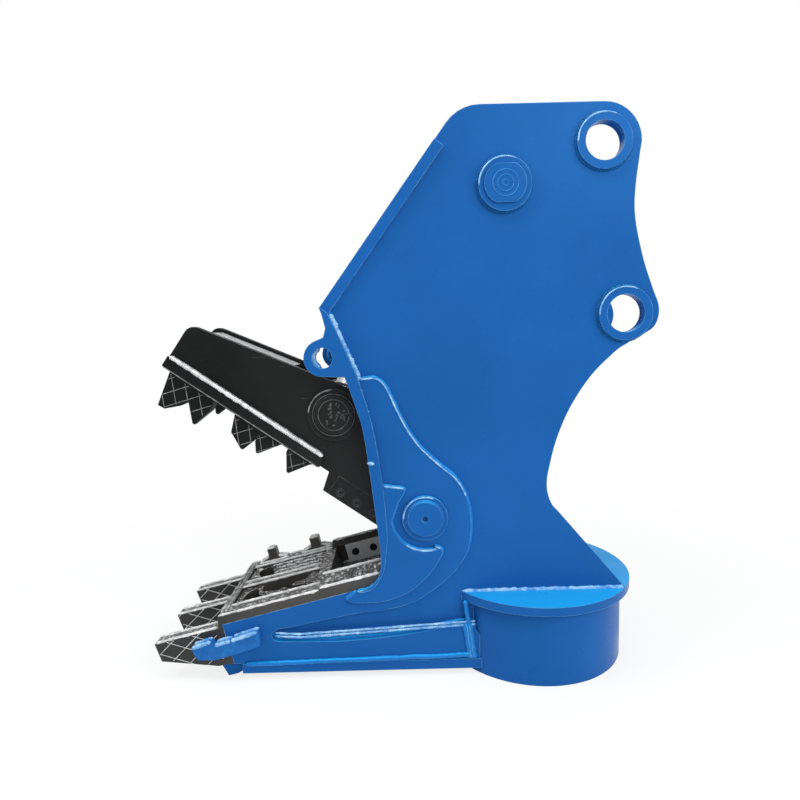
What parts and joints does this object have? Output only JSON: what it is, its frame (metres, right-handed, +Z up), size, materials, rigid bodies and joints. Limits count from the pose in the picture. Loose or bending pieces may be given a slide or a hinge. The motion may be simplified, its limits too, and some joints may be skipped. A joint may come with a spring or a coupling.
{
  "type": "demolition crusher",
  "caption": "Excavator crusher with a fixed lower grid jaw, a hydraulic toothed upper jaw, side cutter blades, a two-bore mount and a round lifting magnet under its frame.",
  "frame": {"origin": "centre of the upper mount bore, in the middle plane", "axes": "+X to the excavator, -X to the jaw tips, +Z up, +Y across to the side away from the viewer of the picture"},
  "size_m": [1.4332, 0.592, 1.5712],
  "materials": {
    "blue_paint": "gloss enamel over weld seams, scuffed at edges",
    "cylinder_paint": "gloss enamel",
    "worn_casting": "cast and hardfaced steel with worn dark paint",
    "blade_steel": "ground wear steel",
    "dark_jaw": "satin dark grey paint, worn at teeth and edges",
    "machined_steel": "machined",
    "bronze": "greased bronze",
    "rod_chrome": "hard chrome",
    "coil_winding": "varnished winding",
    "gland_plastic": "black"
  },
  "bodies": {
    "frame": {"side_plate_near": "blue_paint", "side_plate_far": "blue_paint", "cheek_plate_near": "blue_paint", "cheek_plate_far": "blue_paint", "throat_plate_near": "blue_paint", "throat_plate_far": "blue_paint", "edge_strip_near": "blue_paint", "edge_strip_far": "blue_paint", "front_cover": "blue_paint", "top_cover": "blue_paint", "bay_web": "blue_paint", "back_plate": "blue_paint", "hub_guard": "blue_paint", "mount_bosses": "blue_paint", "base_pin_bosses": "blue_paint", "base_pin": "blue_paint", "pivot_pin": "blue_paint", "pivot_collars": "blue_paint", "bottom_plate": "blue_paint", "nose_plate": "blue_paint", "floor_web": "blue_paint", "guard_hooks": "blue_paint", "magnet_flange": "blue_paint", "magnet_housing": "blue_paint", "rib_near": "worn_casting", "rib_middle": "worn_casting", "rib_far": "worn_casting", "front_bar": "worn_casting", "grid_links": "worn_casting", "grid_plate": "worn_casting", "throat_block": "worn_casting", "magnet_core": "worn_casting", "magnet_face_plate": "worn_casting", "lower_blades": "blade_steel", "lower_blade_bolts": "dark_jaw", "thrust_washers": "machined_steel", "magnet_coil": "coil_winding", "cable_gland": "gland_plastic"},
    "jaw": {"jaw_plate_near": "dark_jaw", "jaw_plate_far": "dark_jaw", "jaw_hub": "dark_jaw", "jaw_bushes": "bronze", "jaw_top_plate": "dark_jaw", "jaw_floor_plate": "dark_jaw", "jaw_rails": "dark_jaw", "tooth_bars": "dark_jaw", "teeth_near": "dark_jaw", "teeth_far": "dark_jaw", "rod_pin": "machined_steel", "rod_pin_bosses": "dark_jaw", "rod_pin_caps": "dark_jaw", "jaw_blades": "dark_jaw", "jaw_blade_bolts": "dark_jaw"},
    "barrel": {"cylinder_barrel": "cylinder_paint", "cylinder_head": "cylinder_paint", "port_blocks": "cylinder_paint"},
    "rod": {"piston": "machined_steel", "piston_rod": "rod_chrome", "rod_eye": "machined_steel"}
  },
  "joints": [
    {"name": "jaw_hinge", "type": "hinge", "parent": "frame", "child": "jaw", "pos_m": [-0.492, 0, -1.005], "axis": [0, -1, 0], "range_deg": [0, 47]},
    {"name": "barrel_swing", "type": "hinge", "parent": "frame", "child": "barrel", "pos_m": [-0.263, 0, -0.104], "axis": [0, -1, 0], "range_deg": [0, 2.6]},
    {"name": "rod_slide", "type": "slide", "parent": "barrel", "child": "rod", "axis": [-0.6174, 0, -0.7866], "range_m": [0, 0.305]}
  ],
  "couplings": [
    {"joint": "barrel_swing", "follows": "jaw_hinge", "ratio": 0.0537},
    {"joint": "rod_slide", "follows": "jaw_hinge", "m_per_rad": 0.3704}
  ]
}
